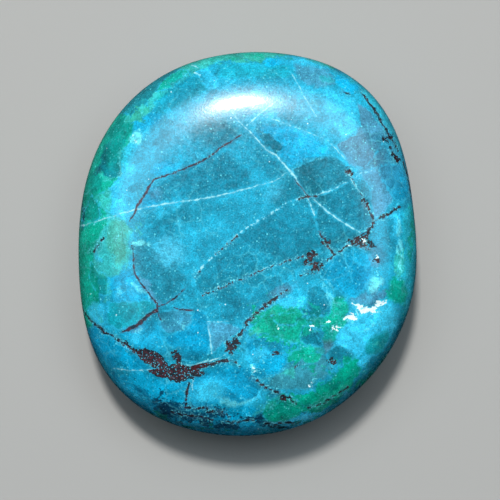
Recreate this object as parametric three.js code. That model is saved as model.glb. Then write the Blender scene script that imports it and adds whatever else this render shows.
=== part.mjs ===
// A polished palm stone of chrysocolla: one solid pebble, shaped as a thick rounded slab with a
// softly squared oval outline, a nearly flat crown and a full round edge.
// It rests on the small flat that was ground on its underside.
//
// Millimetres, +Z up. The origin is on the resting face, under the middle of the outline's box.
// +Y runs along the stone's length and +X across its width.
import * as THREE from "three";

// Driving dimensions: the outline, seen from above. It is a circle drawn out into lobes, each lobe
// count with its height as a share of the mean radius and the direction of its first peak, in
// degrees from +X towards +Y.
const MEAN_RADIUS = 29.7;
const OUTLINE_LOBES = [
  { count: 2, share: 0.068, peak: 80 }, // the oval
  { count: 4, share: 0.019, peak: 50 }, // its four soft corners
  { count: 3, share: 0.0025, peak: -22 }, // and the slight unevenness of an edge ground by hand
  { count: 5, share: 0.0046, peak: -12 },
  { count: 6, share: 0.0053, peak: -12 },
];

// Driving dimensions: the section, from the resting face up.
const GIRTH_HEIGHT = 7.6; // the level where the stone is widest
const CROWN_HEIGHT = 9.4; // from the girth up to the top
const CROWN_FLATNESS = 5.4; // exponent of the section: 2 is an ellipse, and more is a flatter face
const UNDERSIDE_FLATNESS = 4.2;
const GROUND_OFF = 0.2; // depth of the flat ground on the underside
const CROWN_SHIFT = 1.2; // how far the crown leans across the stone, towards +X

// How finely the surface is faceted.
const SECTORS = 84;
const SECTION_STEPS = 31;

/** How much wider or narrower the outline is than a circle, in a direction in radians from +X. */
function outlineStretch(direction) {
  let stretch = 1;
  for (const { count, share, peak } of OUTLINE_LOBES) {
    stretch += share * Math.cos(count * (direction - THREE.MathUtils.degToRad(peak)));
  }
  return stretch;
}

/** How far the section rises from the girth, as a share of its full rise, at a share of the radius. */
function sectionRise(shareOut, flatness) {
  return Math.sqrt(1 - shareOut ** flatness);
}

/** Half of the section of a round stone: from the middle of the foot, round the edge, to the top. */
function halfSection() {
  const undersideDepth = GIRTH_HEIGHT + GROUND_OFF;
  const footShare = (1 - (GIRTH_HEIGHT / undersideDepth) ** 2) ** (1 / UNDERSIDE_FLATNESS);
  const footTurn = -Math.acos(footShare);
  const points = [new THREE.Vector2(0, 0), new THREE.Vector2(MEAN_RADIUS * footShare, 0)];
  for (let step = 1; step < SECTION_STEPS; step++) {
    const turn = THREE.MathUtils.lerp(footTurn, Math.PI / 2, step / SECTION_STEPS);
    const shareOut = Math.cos(turn);
    const rise =
      turn > 0
        ? CROWN_HEIGHT * sectionRise(shareOut, CROWN_FLATNESS)
        : -undersideDepth * sectionRise(shareOut, UNDERSIDE_FLATNESS);
    points.push(new THREE.Vector2(MEAN_RADIUS * shareOut, GIRTH_HEIGHT + rise));
  }
  points.push(new THREE.Vector2(0, GIRTH_HEIGHT + CROWN_HEIGHT));
  return points;
}

/** The whole stone: the section turned round the upright axis, then drawn out to the outline. */
function stoneGeometry() {
  const geometry = new THREE.LatheGeometry(halfSection(), SECTORS).rotateX(Math.PI / 2);
  const places = geometry.getAttribute("position");
  for (let i = 0; i < places.count; i++) {
    const x = places.getX(i);
    const y = places.getY(i);
    const z = places.getZ(i);
    const stretch = outlineStretch(Math.atan2(y, x));
    const overGirth = Math.max(0, z - GIRTH_HEIGHT) / CROWN_HEIGHT;
    places.setXYZ(i, x * stretch + CROWN_SHIFT * overGirth ** 2, y * stretch, z);
  }
  geometry.computeBoundingBox();
  const middle = geometry.boundingBox.getCenter(new THREE.Vector3());
  geometry.translate(-middle.x, -middle.y, 0);
  geometry.computeVertexNormals();
  return geometry;
}

const polishedChrysocolla = new THREE.MeshStandardMaterial({
  name: "polished_chrysocolla",
  color: 0x1f93ab,
  roughness: 0.22,
  metalness: 0,
});

const stone = new THREE.Mesh(stoneGeometry(), polishedChrysocolla);
stone.name = "chrysocolla_stone";

const specimen = new THREE.Group();
specimen.name = "chrysocolla_specimen";
specimen.add(stone);

export default specimen;
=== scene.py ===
import math

import bmesh
import bpy
from mathutils import Euler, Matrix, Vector, noise
from mathutils.geometry import intersect_point_line


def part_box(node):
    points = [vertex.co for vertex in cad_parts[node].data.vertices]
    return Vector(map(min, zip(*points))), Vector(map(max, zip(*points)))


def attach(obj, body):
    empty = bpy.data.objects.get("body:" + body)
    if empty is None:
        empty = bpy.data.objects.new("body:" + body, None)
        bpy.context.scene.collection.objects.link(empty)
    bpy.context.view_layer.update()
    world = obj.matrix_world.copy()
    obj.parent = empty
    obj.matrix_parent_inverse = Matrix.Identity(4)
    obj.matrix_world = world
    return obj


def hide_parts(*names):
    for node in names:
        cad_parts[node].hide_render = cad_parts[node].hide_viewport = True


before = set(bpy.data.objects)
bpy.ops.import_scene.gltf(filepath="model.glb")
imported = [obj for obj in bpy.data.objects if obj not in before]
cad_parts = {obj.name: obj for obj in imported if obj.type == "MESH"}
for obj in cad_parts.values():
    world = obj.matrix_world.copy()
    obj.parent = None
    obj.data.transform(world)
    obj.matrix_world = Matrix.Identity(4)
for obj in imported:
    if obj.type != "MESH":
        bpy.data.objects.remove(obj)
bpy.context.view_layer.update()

MM = 0.001
LOWEST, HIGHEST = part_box("chrysocolla_stone")
HALF_LENGTH = (HIGHEST.y - LOWEST.y) / 2
SHARE = 1 / HALF_LENGTH


def trace(points):
    """Points given in thousandths of the half length, as shares of it."""
    return [tuple(part / 1000 for part in point) for point in points]


def traced_rows(*rows):
    """Rows that each end in a list of points in thousandths."""
    return [(*row[:-1], trace(row[-1])) for row in rows]


def spots(*rows):
    """Rows that each start with u, v, half length and half breadth in thousandths."""
    return [(*(part / 1000 for part in row[:4]), *row[4:]) for row in rows]


# ---------------------------------------------------------------- colours

TEAL = (0.0100, 0.305, 0.465)
DUSK_TEAL = (0.0040, 0.190, 0.290)
GREY_TEAL = (0.0080, 0.180, 0.265)
DEEP_TEAL = (0.0020, 0.140, 0.205)
SLATE = (0.0600, 0.200, 0.310)
BLUE = (0.0005, 0.255, 0.450)
BRIGHT_BLUE = (0.0015, 0.310, 0.530)
DEEP_BLUE = (0.0005, 0.140, 0.260)
NAVY = (0.002, 0.028, 0.068)
AZURE = (0.0010, 0.370, 0.640)
CYAN = (0.030, 0.500, 0.760)
ICE = (0.130, 0.680, 0.780)
MILK = (0.055, 0.430, 0.620)
PINE = (0.001, 0.200, 0.175)
SEA_GREEN = (0.0005, 0.310, 0.215)
JADE = (0.0010, 0.345, 0.238)
GREEN_TEAL = (0.0050, 0.300, 0.340)
MINT = (0.0300, 0.400, 0.380)
PALE_JADE = (0.0300, 0.370, 0.290)
LIME = (0.0380, 0.295, 0.235)
DIM_GREEN = (0.0080, 0.205, 0.250)
HAZE_BLUE = (0.0650, 0.290, 0.460)
SLATE_BLUE = (0.0400, 0.215, 0.345)
SEA_TEAL = (0.0040, 0.285, 0.360)
PALE_TEAL = (0.0120, 0.390, 0.510)
VIVID = (0.0030, 0.440, 0.740)
PALE_AZURE = (0.0450, 0.620, 0.900)
WHITE = (0.700, 0.860, 0.880)
LINE_WHITE = (0.330, 0.690, 0.740)
RED_BROWN = (0.0600, 0.004, 0.008)
BLACK_BROWN = (0.0040, 0.003, 0.007)
MIST = (0.0300, 0.235, 0.310)
DULL_BROWN = (0.105, 0.120, 0.130)

# ---------------------------------------------------------------- markings
# A line is a thin sheet that cuts down through the stone, leaning by an angle in degrees from
# upright: (lean, points as u, v and half width).

PALE_LINES = traced_rows(
    # the long hairline right across the crown
    (12, [(-930, 75, 3), (-800, 105, 3), (-660, 148, 3), (-560, 175, 4), (-420, 203, 5), (-250, 226, 4),
        (-140, 246, 4), (0, 280, 4), (80, 300, 3), (150, 325, 3), (215, 370, 3)]),
    # the broad grey-white one down from the shoulder to the crossing
    (-20, [(-90, 690, 3), (-40, 615, 4), (-10, 590, 3), (60, 515, 4), (100, 475, 6), (140, 450, 6),
        (180, 410, 5), (215, 365, 6), (245, 330, 5), (270, 290, 3), (300, 240, 3), (315, 205, 3),
        (345, 135, 7)]),
    # its thin bright branch
    (15, [(320, 240, 3), (360, 200, 4), (430, 143, 5), (465, 120, 4), (500, 100, 4), (580, 50, 3)]),
    # the line between the two dark blocks
    (-8, [(300, 237, 4), (345, 240, 3), (380, 260, 5), (430, 275, 3), (475, 300, 3), (530, 325, 2),
        (580, 360, 3), (660, 375, 2)]),
    # faint lines near the upper shoulder
    (5, [(90, 645, 2), (190, 610, 2), (300, 565, 2), (420, 520, 1)]),
    (5, [(210, 885, 2), (245, 835, 4), (285, 755, 2), (315, 705, 3), (360, 635, 2)]),
    (-5, [(130, 715, 3), (75, 670, 4), (30, 630, 3), (-5, 595, 3)]),
    (5, [(-290, 925, 4), (-250, 903, 4)]),
    (5, [(-275, 880, 3), (-240, 860, 5)]),
    # the white line through the dark cluster
    (-15, [(-710, -640, 2), (-620, -645, 3), (-550, -642, 3), (-500, -640, 4), (-440, -630, 4),
        (-380, -618, 4), (-330, -612, 4), (-270, -618, 5), (-210, -595, 6), (-150, -580, 3),
        (-90, -545, 2)]),
    # short pale lines in the lower half
    (5, [(-205, -395, 3), (-190, -460, 6), (-180, -560, 4)]),
    (5, [(-215, -392, 2), (-150, -397, 3), (-90, -392, 2)]),
    (5, [(-262, -650, 4), (-277, -700, 4), (-280, -750, 3)]),
    # edges of the rind, left and right
    (5, [(520, 335, 3), (545, 300, 7), (570, 258, 4)]),
    (5, [(420, 510, 2), (500, 425, 3)]),
)

DOTTED_LINES = traced_rows(
    # the dotted line from lower left up to the crossing
    (10, [(-275, -170, 3), (-235, -125, 4), (-160, -50, 2), (-100, 0, 2), (-50, 45, 2), (0, 85, 4),
        (60, 120, 4), (120, 155, 4), (190, 203, 3), (295, 240, 3)]),
    # the dotted line below it
    (10, [(-240, -262, 2), (-130, -213, 3), (-30, -180, 1), (50, -140, 3), (100, -120, 3), (160, -100, 2),
        (240, -75, 2), (340, -50, 1)]),
)

RED_LINES = traced_rows(
    # the red-brown line over the upper left of the crown
    (18, [(-20, 562, 4), (-50, 540, 3), (-140, 480, 5), (-250, 408, 6), (-360, 362, 4), (-420, 345, 6),
        (-475, 325, 4), (-510, 270, 9), (-525, 245, 6), (-555, 200, 9), (-570, 165, 5), (-600, 118, 5),
        (-603, 100, 6)]),
    # the short one beside the grey-white line, above the crossing
    (18, [(238, 330, 2), (262, 296, 4), (288, 262, 3), (310, 238, 4)]),
    # the fork at the lower left
    (-14, [(-650, -452, 3), (-620, -440, 7), (-600, -430, 12), (-570, -415, 9), (-540, -395, 12),
        (-500, -360, 9), (-455, -335, 9)]),
    (-14, [(-455, -340, 6), (-457, -305, 6), (-490, -265, 5), (-530, -215, 5), (-565, -170, 6),
        (-580, -110, 5), (-580, -50, 3), (-590, 0, 5)]),
    (-14, [(-455, -320, 5), (-410, -303, 3), (-370, -275, 5), (-310, -220, 2)]),
    (-14, [(-458, -330, 4), (-437, -388, 4)]),
    (5, [(-380, -322, 3), (-340, -333, 4), (-270, -338, 5)]),
)

BLACK_LINES = traced_rows(
    # the main line from the left edge, through the clusters and up to the right edge
    (22, [(-900, -310, 5), (-840, -358, 6), (-800, -403, 9), (-760, -435, 12), (-735, -455, 9),
        (-690, -470, 7), (-650, -505, 7), (-600, -530, 9), (-550, -556, 12)]),
    (22, [(-360, -600, 6), (-330, -620, 7), (-285, -634, 12), (-230, -622, 12), (-180, -612, 8),
        (-130, -592, 7), (-80, -588, 7), (-30, -620, 3)]),
    (22, [(-120, -525, 6), (-50, -475, 7), (-15, -430, 7), (0, -392, 10), (40, -360, 5), (70, -330, 7),
        (110, -297, 10), (160, -262, 4), (210, -225, 2)]),
    (22, [(255, -168, 5), (290, -147, 5), (330, -132, 5), (370, -103, 4), (410, -78, 5), (435, -53, 6),
        (470, -36, 4), (505, -5, 4), (550, 20, 9), (600, 60, 9), (625, 85, 7), (645, 118, 8), (690, 143, 7),
        (725, 158, 9), (750, 182, 10), (790, 200, 3)]),
    # short ones
    (5, [(-293, -700, 4), (-307, -750, 5), (-315, -835, 5)]),
    (-12, [(575, 800, 4), (600, 765, 6), (650, 690, 9), (700, 600, 9), (725, 555, 9), (755, 525, 7),
        (780, 470, 6)]),
    (-12, [(725, 500, 6), (745, 455, 8), (775, 425, 10)]),
    (-12, [(800, 430, 3), (825, 360, 7), (838, 290, 8), (845, 240, 4)]),
    (8, [(500, 395, 5), (520, 365, 6), (545, 300, 1), (570, 255, 1), (600, 215, 6), (620, 165, 5),
        (645, 115, 5)]),
    (8, [(360, 70, 4), (390, 20, 7), (410, -15, 6), (435, -55, 6)]),
    (8, [(10, -670, 3), (50, -692, 6), (90, -728, 7), (150, -753, 6), (180, -780, 7), (220, -790, 6),
        (255, -820, 5)]),
    (8, [(-165, -55, 3), (-100, -3, 3), (-45, 43, 3)]),
    (8, [(-275, -172, 5), (-235, -135, 3)]),
    (8, [(-240, -264, 5), (-170, -235, 4), (-130, -222, 4), (-90, -200, 6), (-50, -186, 3), (40, -145, 6),
        (70, -135, 1), (180, -93, 3), (300, -62, 3), (360, -40, 6)]),
    (5, [(-790, -47, 3), (-765, -10, 2), (-730, 35, 4)]),
    (5, [(475, 777, 2), (530, 767, 3)]),
    (5, [(-210, -858, 3), (-150, -852, 5), (-110, -862, 5), (-85, -890, 3)]),
    (5, [(-140, -905, 3), (-80, -915, 6), (-20, -905, 5), (40, -900, 3)]),
    (5, [(-400, -858, 3), (-330, -878, 7), (-250, -882, 5), (-170, -905, 4)]),
    (5, [(-280, -845, 4), (-220, -838, 7), (-170, -848, 5), (-120, -868, 4)]),
    (5, [(80, -915, 4), (140, -925, 7), (200, -916, 5), (270, -928, 4)]),
    (5, [(300, -845, 3), (380, -818, 6), (460, -768, 4), (520, -725, 5)]),
    (5, [(-350, -835, 4), (-300, -838, 5), (-260, -830, 4)]),
    (5, [(255, 222, 4), (300, 240, 6), (360, 240, 4)]),
)

# The two cracks that are open, as points along them.
OPEN_CRACKS = (
    trace([(575, 800), (600, 765), (650, 690), (700, 600), (725, 555), (755, 525), (780, 470)]),
    trace([(-830, -370), (-760, -435), (-690, -467), (-600, -523), (-550, -560)]),
)

# Spots of brown mineral: (u, v, half length, half breadth, turn in degrees).
BROWN_CLUSTERS = spots(
    (-505, -570, 60, 30, -28),
    (-450, -588, 50, 22, -38),
    (-345, -668, 50, 30, 5),
    (-270, -655, 40, 20, 30),
    (-358, -580, 18, 45, 8),
    (-600, -520, 45, 14, -28),
    (-80, -515, 35, 35, 20),
    (350, -125, 32, 18, 50),
    (318, -92, 28, 16, 10),
    (330, -55, 35, 14, 25),
    (565, 30, 50, 20, 25),
    (590, 0, 50, 18, -15),
    (395, 3, 20, 18, 0),
    (720, 545, 22, 14, 20),
    (770, 430, 26, 12, -10),
    (515, 365, 18, 9, -40),
    (602, 205, 12, 24, 20),
    (145, -550, 30, 8, 5),
    (240, -620, 18, 8, 0),
    (430, -600, 22, 20, -40),
    (655, -80, 12, 16, 0),
    (185, -780, 24, 10, -10),
)

# The two big brown masses, as outlines on the crown.
BROWN_MASSES = (
    trace([(-565, -545), (-500, -540), (-465, -555), (-435, -585), (-400, -625), (-440, -630), (-480, -625),
        (-500, -605), (-535, -590)]),
    trace([(-505, -645), (-460, -635), (-400, -625), (-350, -618), (-300, -628), (-250, -612), (-190, -598),
        (-220, -625), (-270, -645), (-300, -670), (-330, -695), (-370, -695), (-390, -675), (-430, -682),
        (-470, -668)]),
)

# White drusy quartz: (u, v, half length, half breadth, turn in degrees).
DRUSE = spots(
    (565, -325, 32, 10, -45),
    (615, -335, 40, 16, -10),
    (665, -310, 40, 10, 15),
    (490, -383, 16, 6, 10),
    (530, -373, 30, 12, 10),
    (455, -425, 22, 10, 30),
    (400, -392, 10, 6, 0),
    (330, -423, 12, 6, 0),
    (590, 15, 30, 6, -35),
    (510, 0, 7, 6, 0),
    (655, -68, 10, 6, 0),
    (35, -635, 10, 8, 50),
    (145, -430, 16, 5, 50),
    (320, -718, 8, 8, 0),
)

# Layers along the stone's edge: all that lies on the left as one goes along a path, as
# (colour, strength, width of the boundary as a share, lean, path).
LAYERS = traced_rows(
    (CYAN, 0.85, 0.03, 10, [(-605, 110), (-615, 200), (-610, 280), (-585, 340), (-575, 400), (-570, 460),
        (-550, 520), (-520, 570)]),
    (MINT, 0.8, 0.012, 5, [(-715, -175), (-650, -145), (-610, -100), (-590, -40), (-595, 20), (-580, 60),
        (-600, 100), (-650, 135), (-690, 160), (-700, 220), (-695, 300)]),
    (SEA_GREEN, 0.95, 0.008, 0, [(-815, -430), (-775, -360), (-750, -280), (-765, -200), (-785, -130),
        (-800, -60), (-765, 0), (-735, 70), (-720, 120), (-730, 170), (-705, 220), (-700, 280), (-665, 330),
        (-645, 380), (-652, 440), (-632, 475), (-610, 510), (-605, 550), (-590, 600), (-600, 640),
        (-640, 665), (-680, 700)]),
    (DIM_GREEN, 0.95, 0.006, 0, [(-655, 665), (-600, 670), (-550, 700), (-510, 740), (-450, 800),
        (-400, 870), (-340, 900)]),
    (PALE_JADE, 0.9, 0.01, 0, [(-370, 905), (-310, 880), (-260, 875), (-210, 905), (-160, 935), (-80, 945),
        (0, 935), (60, 930), (90, 955), (200, 968), (280, 962), (360, 935), (450, 893)]),
    (PALE_TEAL, 0.8, 0.012, 0, [(480, 875), (560, 800), (620, 735), (680, 650), (740, 560), (790, 460)]),
    (PALE_TEAL, 0.85, 0.01, 0, [(840, 210), (800, 180), (795, 120), (795, 40), (797, -30), (800, -100),
        (790, -160), (810, -240), (800, -310), (780, -360), (800, -400)]),
    (DUSK_TEAL, 0.7, 0.01, 0, [(820, -380), (775, -420), (735, -500), (690, -555), (620, -605), (570, -665),
        (530, -740)]),
    (SEA_GREEN, 0.8, 0.008, 0, [(850, -360), (805, -440), (745, -545), (690, -615), (640, -665),
        (580, -720)]),
)

# The stone's blocks of colour, as they meet the crown: (colour, strength, width of the edge as a
# share, outline round a middle that every point of it can be seen from).
BLOCKS = traced_rows(
    # between the red-brown line and the long hairline
    (DUSK_TEAL, 0.8, 0.04, [(-470, 300), (-400, 330), (-250, 390), (-120, 450), (-50, 420), (20, 330),
        (20, 290), (-150, 255), (-300, 235), (-430, 210)]),
    (BRIGHT_BLUE, 0.8, 0.014, [(-500, 300), (-530, 240), (-550, 190), (-480, 190), (-420, 210),
        (-440, 270)]),
    # over the red-brown line
    (GREY_TEAL, 0.8, 0.04, [(-40, 560), (-120, 630), (-240, 600), (-300, 530), (-140, 490)]),
    (AZURE, 0.6, 0.014, [(-500, 350), (-450, 350), (-380, 370), (-330, 400), (-380, 410), (-460, 400)]),
    # the bright band over the long hairline, right of the broad white line
    (AZURE, 0.75, 0.014, [(0, 570), (80, 600), (200, 590), (300, 550), (420, 490), (400, 455), (350, 440),
        (280, 420), (220, 385), (170, 450), (150, 530), (80, 560)]),
    (DEEP_TEAL, 0.85, 0.01, [(60, 545), (100, 555), (140, 530), (170, 480), (155, 455), (120, 490),
        (80, 520)]),
    (DUSK_TEAL, 0.6, 0.022, [(50, 500), (100, 460), (170, 400), (210, 360), (120, 320), (50, 360),
        (0, 440)]),
    # the two dark blocks right of the crossing
    (GREY_TEAL, 0.95, 0.005, [(225, 372), (300, 410), (360, 435), (420, 445), (460, 435), (490, 400),
        (510, 370), (530, 325), (475, 300), (380, 260), (340, 242), (300, 245), (270, 290), (240, 340)]),
    (DUSK_TEAL, 0.9, 0.005, [(310, 225), (360, 235), (430, 270), (530, 320), (560, 270), (600, 210),
        (630, 140), (640, 110), (580, 55), (500, 100), (430, 145), (360, 200)]),
    (DUSK_TEAL, 0.95, 0.006, [(345, 130), (360, 200), (430, 143), (500, 100), (580, 50), (500, 0),
        (440, -50), (390, 20), (360, 70)]),
    # the dark wedge between the two dotted lines
    (DUSK_TEAL, 0.85, 0.007, [(290, 235), (190, 200), (60, 120), (-100, 0), (-240, -130), (-270, -170),
        (-240, -260), (-130, -210), (50, -140), (160, -100), (340, -50), (390, 0), (360, 70), (340, 130)]),
    (DEEP_TEAL, 0.6, 0.03, [(120, 155), (190, 200), (290, 240), (240, 330), (200, 300), (120, 220)]),
    # the grey block at the left, and those round it
    (GREY_TEAL, 0.9, 0.014, [(-580, 0), (-520, 20), (-470, -40), (-420, -100), (-360, -120), (-320, -170),
        (-320, -240), (-380, -270), (-440, -290), (-480, -250), (-540, -200), (-580, -120)]),
    (BRIGHT_BLUE, 0.8, 0.014, [(-700, -170), (-600, -130), (-570, -170), (-530, -220), (-490, -280),
        (-550, -300), (-680, -280), (-710, -220)]),
    (SEA_TEAL, 0.9, 0.007, [(-700, -300), (-600, -300), (-500, -290), (-460, -310), (-460, -330),
        (-520, -380), (-600, -420), (-660, -440), (-720, -400)]),
    (BLUE, 0.9, 0.014, [(-800, -410), (-740, -460), (-660, -500), (-600, -540), (-530, -600), (-500, -640),
        (-600, -650), (-680, -640), (-740, -600), (-820, -520)]),
    (BRIGHT_BLUE, 0.7, 0.014, [(-640, -460), (-600, -430), (-530, -400), (-460, -350), (-430, -400),
        (-420, -500), (-380, -550), (-450, -570), (-520, -540), (-580, -520)]),
    (SLATE_BLUE, 0.7, 0.007, [(-450, -360), (-400, -340), (-310, -330), (-280, -360), (-290, -420),
        (-340, -440), (-400, -450), (-440, -420)]),
    (BLUE, 0.95, 0.007, [(-330, -440), (-280, -400), (-260, -330), (-210, -350), (-190, -420), (-190, -500),
        (-200, -560), (-280, -600), (-340, -580), (-380, -520), (-420, -480)]),
    (DUSK_TEAL, 0.5, 0.022, [(-280, -300), (-100, -280), (40, -270), (20, -360), (-100, -390),
        (-200, -400)]),
    (HAZE_BLUE, 0.7, 0.006, [(-200, -400), (-100, -405), (-40, -430), (-80, -470), (-130, -500),
        (-170, -550), (-190, -480)]),
    # below the main brown line
    (BLUE, 0.9, 0.014, [(-270, -660), (-220, -630), (-150, -610), (-50, -620), (20, -650), (50, -700),
        (60, -750), (20, -790), (-50, -810), (-130, -800), (-200, -840), (-280, -820), (-290, -740)]),
    (BRIGHT_BLUE, 0.9, 0.022, [(-500, -660), (-400, -700), (-300, -700), (-300, -820), (-360, -840),
        (-450, -800), (-550, -800), (-660, -750), (-680, -680), (-600, -660)]),
    (BLUE, 0.95, 0.022, [(-680, -700), (-600, -780), (-480, -820), (-360, -850), (-100, -870), (50, -880),
        (50, -1000), (-400, -1050), (-750, -850)]),
    (BRIGHT_BLUE, 0.9, 0.014, [(-120, -840), (-40, -830), (50, -850), (50, -900), (20, -940), (-60, -930)]),
    (NAVY, 0.85, 0.016, [(-480, -795), (-430, -815), (-370, -840), (-300, -845), (-270, -865), (-300, -885),
        (-370, -900), (-420, -880), (-460, -845)]),
    (NAVY, 0.8, 0.01, [(-20, -885), (40, -880), (90, -885), (120, -900), (80, -915), (20, -905)]),
    # the lens, and the mottled greens round it
    (BRIGHT_BLUE, 0.9, 0.007, [(0, -490), (50, -480), (100, -455), (140, -465), (200, -500), (270, -505),
        (220, -560), (200, -620), (150, -660), (70, -680), (20, -660), (0, -600)]),
    (DUSK_TEAL, 0.8, 0.014, [(20, -490), (100, -455), (150, -480), (200, -510), (120, -530), (40, -530)]),
    (TEAL, 0.7, 0.014, [(150, -500), (300, -510), (270, -550), (200, -590), (140, -560)]),
    (JADE, 0.95, 0.006, [(0, -440), (50, -400), (100, -330), (160, -300), (250, -320), (300, -380),
        (330, -420), (370, -500), (300, -520), (260, -500), (200, -490), (140, -460), (100, -450),
        (40, -480)]),
    (DEEP_TEAL, 0.6, 0.007, [(120, -360), (200, -360), (250, -360), (240, -410), (150, -400)]),
    (CYAN, 0.8, 0.01, [(120, -290), (180, -275), (280, -280), (290, -320), (220, -340), (150, -310)]),
    (DEEP_TEAL, 0.95, 0.006, [(280, -420), (340, -420), (370, -490), (380, -510), (320, -510),
        (270, -490)]),
    (DEEP_TEAL, 0.95, 0.006, [(250, -340), (290, -325), (310, -360), (280, -370)]),
    (SEA_GREEN, 0.9, 0.006, [(310, -370), (400, -370), (405, -410), (340, -420), (300, -410)]),
    (JADE, 0.9, 0.01, [(430, -280), (480, -270), (520, -310), (480, -420), (440, -500), (390, -500),
        (380, -400)]),
    (DULL_BROWN, 0.5, 0.014, [(385, -480), (430, -500), (420, -550), (390, -550)]),
    (DUSK_TEAL, 0.95, 0.005, [(310, -220), (350, -210), (390, -235), (420, -290), (420, -330), (400, -370),
        (340, -365), (300, -320)]),
    (MIST, 0.85, 0.014, [(200, -620), (280, -570), (380, -560), (420, -620), (380, -680), (300, -740),
        (200, -740), (100, -720), (140, -670)]),
    (JADE, 0.95, 0.007, [(200, -600), (220, -550), (300, -520), (380, -525), (380, -555), (310, -555),
        (250, -590), (230, -620)]),
    # right of the mottled greens
    (BRIGHT_BLUE, 0.95, 0.006, [(400, -100), (460, -60), (520, -20), (600, -50), (640, -100), (620, -170),
        (600, -220), (550, -270), (500, -260), (440, -220), (380, -180), (360, -140)]),
    (VIVID, 0.95, 0.006, [(520, -20), (600, -40), (640, -90), (600, -110), (560, -100)]),
    (BLUE, 0.9, 0.006, [(500, -40), (540, -90), (600, -130), (620, -170), (580, -240), (540, -230),
        (530, -150), (500, -90)]),
    (SLATE_BLUE, 0.9, 0.014, [(530, -270), (600, -250), (660, -250), (690, -200), (720, -240), (680, -290),
        (600, -310), (550, -300)]),
    (CYAN, 0.95, 0.007, [(450, -470), (500, -410), (550, -370), (620, -345), (680, -320), (740, -340),
        (745, -400), (700, -450), (630, -480), (600, -540), (560, -585), (500, -530), (450, -510)]),
    (SEA_GREEN, 0.95, 0.014, [(460, -640), (530, -595), (580, -600), (570, -660), (520, -740), (440, -820),
        (360, -880), (280, -860), (280, -780), (360, -740), (420, -690)]),
    (AZURE, 0.9, 0.014, [(200, -890), (300, -875), (380, -875), (400, -900), (300, -950), (200, -960)]),
    (DEEP_TEAL, 0.75, 0.006, [(400, -550), (450, -515), (500, -530), (540, -560), (530, -600), (470, -620),
        (430, -600)]),
    (GREEN_TEAL, 0.85, 0.007, [(600, -520), (630, -480), (670, -460), (720, -440), (725, -480), (700, -540),
        (660, -565), (610, -560)]),
    (SEA_GREEN, 0.9, 0.007, [(80, -840), (120, -790), (180, -760), (240, -790), (280, -830), (270, -880),
        (200, -910), (120, -910), (80, -880)]),
    # the right edge
    (CYAN, 0.8, 0.014, [(730, 140), (780, 150), (785, 60), (780, 0), (750, 30), (735, 80)]),
    (SEA_GREEN, 0.9, 0.014, [(720, -200), (760, -170), (800, -190), (820, -250), (800, -310), (740, -290),
        (700, -270), (720, -240)]),
    (MINT, 0.95, 0.01, [(740, -120), (770, -40), (790, -20), (800, -150), (760, -170)]),
    (HAZE_BLUE, 0.9, 0.007, [(575, 350), (620, 370), (670, 390), (680, 340), (700, 300), (740, 220),
        (690, 155), (645, 130), (635, 200), (625, 280)]),
    (BRIGHT_BLUE, 0.95, 0.006, [(670, 390), (720, 400), (780, 410), (820, 360), (840, 260), (790, 210),
        (750, 230), (700, 300), (680, 340)]),
    # the upper right
    (CYAN, 0.8, 0.022, [(400, 800), (500, 760), (550, 760), (560, 660), (580, 600), (550, 550), (480, 540),
        (430, 600), (380, 700)]),
    (SLATE, 0.8, 0.007, [(560, 720), (620, 680), (680, 600), (720, 550), (680, 500), (620, 420), (600, 380),
        (520, 400), (450, 500), (550, 550), (580, 600)]),
    (DULL_BROWN, 0.75, 0.014, [(620, 480), (660, 520), (700, 535), (705, 460), (680, 410), (650, 390),
        (635, 430)]),
    (SLATE, 0.6, 0.014, [(250, 930), (400, 900), (450, 820), (350, 800), (260, 840)]),
    (AZURE, 0.9, 0.01, [(460, 860), (500, 870), (570, 800), (520, 780), (470, 810)]),
    (AZURE, 0.9, 0.01, [(80, 945), (150, 950), (160, 900), (120, 910)]),
    # inside the upper left edge
    (DUSK_TEAL, 0.45, 0.022, [(-450, 760), (-380, 790), (-280, 850), (-230, 810), (-250, 750), (-350, 730),
        (-430, 700)]),
    (SEA_TEAL, 0.7, 0.03, [(-480, 700), (-420, 790), (-300, 860), (-220, 860), (-200, 800), (-280, 740),
        (-400, 680), (-460, 670)]),
    (SEA_TEAL, 0.6, 0.03, [(-150, 930), (0, 920), (100, 910), (240, 900), (220, 850), (0, 840),
        (-150, 850)]),
    (CYAN, 0.7, 0.007, [(-260, 885), (-210, 885), (-160, 840), (-150, 800), (-200, 790), (-240, 840)]),
    (BRIGHT_BLUE, 0.7, 0.014, [(-500, 660), (-590, 610), (-590, 580), (-530, 580), (-470, 610),
        (-440, 660)]),
    (JADE, 0.85, 0.006, [(-300, 885), (-340, 900), (-400, 870), (-455, 810), (-460, 780), (-400, 800),
        (-340, 840)]),
    (DEEP_TEAL, 0.9, 0.009, [(-630, 540), (-635, 490), (-640, 460), (-645, 420), (-640, 380), (-670, 340),
        (-700, 330), (-760, 380), (-750, 450), (-720, 520)]),
    (PINE, 0.95, 0.009, [(-600, 640), (-610, 570), (-670, 530), (-730, 550), (-700, 600), (-660, 650)]),
    (ICE, 0.85, 0.009, [(-615, 530), (-600, 560), (-580, 580), (-545, 575), (-530, 550), (-540, 515),
        (-570, 505), (-590, 510)]),
    # the left edge
    (LIME, 0.75, 0.014, [(-700, 110), (-630, 120), (-600, 80), (-630, 30), (-620, -60), (-660, -110),
        (-690, -60), (-720, 30)]),
    (CYAN, 0.6, 0.014, [(-830, -340), (-770, -290), (-730, -330), (-740, -420), (-790, -400)]),
    (MINT, 0.7, 0.007, [(-700, 280), (-780, 240), (-740, 180), (-700, 170)]),
    (PINE, 0.8, 0.006, [(-800, 250), (-765, 200), (-750, 140), (-800, 110), (-860, 120)]),
    (PINE, 0.8, 0.009, [(-800, 360), (-740, 320), (-770, 270), (-810, 270)]),
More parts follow.
